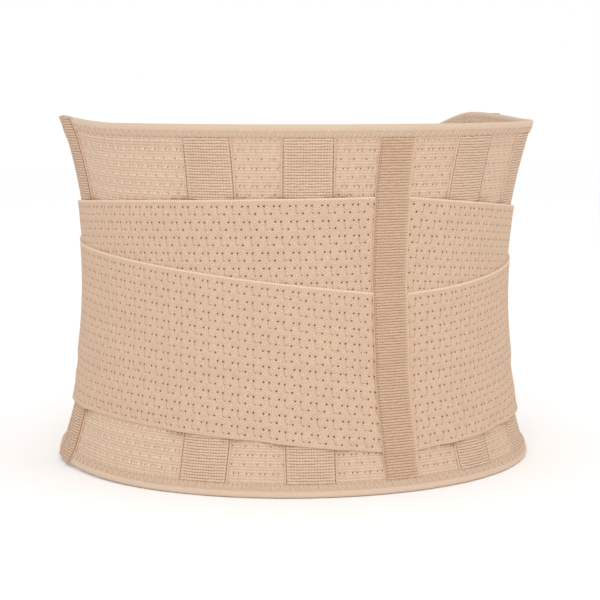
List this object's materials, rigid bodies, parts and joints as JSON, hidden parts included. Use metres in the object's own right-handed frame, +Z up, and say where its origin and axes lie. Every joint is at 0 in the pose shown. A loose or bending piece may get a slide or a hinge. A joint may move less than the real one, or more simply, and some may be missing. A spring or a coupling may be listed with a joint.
{
  "type": "lumbar support belt",
  "caption": "Elastic lower-back support belt with stays in the back, wrap-round side straps ending in hook tabs, and a hook-and-loop front closure.",
  "frame": {"origin": "on the ground, at the middle of the standing belt's bounding box", "axes": "+Z up, +Y towards the wearer's front, +X towards the wearer's right; the spine tape is at -Y"},
  "size_m": [0.345, 0.3477, 0.2438],
  "materials": {
    "perforated_elastic": "woven elastic with small openings",
    "strap_elastic": "woven elastic with small openings",
    "ribbed_tape": "ribbed woven tape",
    "binding_tape": "soft woven binding",
    "front_fabric": "woven elastic",
    "tab_fabric": "napped fabric",
    "loop_pile": "looped pile",
    "hook_tape": "moulded hooks",
    "spring_steel": "blued strip, hidden"
  },
  "bodies": {
    "back": {"back_panel": "perforated_elastic", "back_top_binding": "binding_tape", "back_bottom_binding": "binding_tape", "centre_back_tape": "ribbed_tape", "inner_casing_left": "ribbed_tape", "inner_stay_left": "spring_steel", "outer_casing_left": "ribbed_tape", "outer_stay_left": "spring_steel", "side_casing_left": "ribbed_tape", "side_stay_left": "spring_steel", "upper_strap_rear_left": "strap_elastic", "lower_strap_rear_left": "strap_elastic", "inner_casing_right": "ribbed_tape", "inner_stay_right": "spring_steel", "outer_casing_right": "ribbed_tape", "outer_stay_right": "spring_steel", "side_casing_right": "ribbed_tape", "side_stay_right": "spring_steel", "upper_strap_rear_right": "strap_elastic", "lower_strap_rear_right": "strap_elastic"},
    "front_left": {"front_panel_left": "front_fabric", "front_top_binding_left": "binding_tape", "front_bottom_binding_left": "binding_tape", "front_end_binding_left": "binding_tape", "landing_loop_left": "loop_pile", "upper_strap_side_left": "strap_elastic", "lower_strap_side_left": "strap_elastic", "closure_hook_patch": "hook_tape"},
    "front_right": {"front_panel_right": "front_fabric", "front_top_binding_right": "binding_tape", "front_bottom_binding_right": "binding_tape", "front_end_binding_right": "binding_tape", "landing_loop_right": "loop_pile", "upper_strap_side_right": "strap_elastic", "lower_strap_side_right": "strap_elastic", "closure_loop_patch": "loop_pile"},
    "strap_left": {"upper_strap_end_left": "strap_elastic", "lower_strap_end_left": "strap_elastic", "strap_tab_left": "tab_fabric", "strap_hook_patch_left": "hook_tape"},
    "strap_right": {"upper_strap_end_right": "strap_elastic", "lower_strap_end_right": "strap_elastic", "strap_tab_right": "tab_fabric", "strap_hook_patch_right": "hook_tape"}
  },
  "joints": [
    {"name": "left_side_seam", "type": "hinge", "parent": "back", "child": "front_left", "pos_m": [-0.17, 0.03492, 0.12], "axis": [0, 0, 1], "range_deg": [0, 70]},
    {"name": "right_side_seam", "type": "hinge", "parent": "back", "child": "front_right", "pos_m": [0.17, 0.03492, 0.12], "axis": [0, 0, -1], "range_deg": [0, 70]},
    {"name": "left_strap_peel", "type": "hinge", "parent": "front_left", "child": "strap_left", "pos_m": [-0.12536, 0.09883, 0.12], "axis": [0, 0, 1], "range_deg": [0, 60]},
    {"name": "right_strap_peel", "type": "hinge", "parent": "front_right", "child": "strap_right", "pos_m": [0.12536, 0.09883, 0.12], "axis": [0, 0, -1], "range_deg": [0, 60]}
  ],
  "couplings": [
    {"joint": "right_side_seam", "follows": "left_side_seam", "ratio": 1}
  ]
}
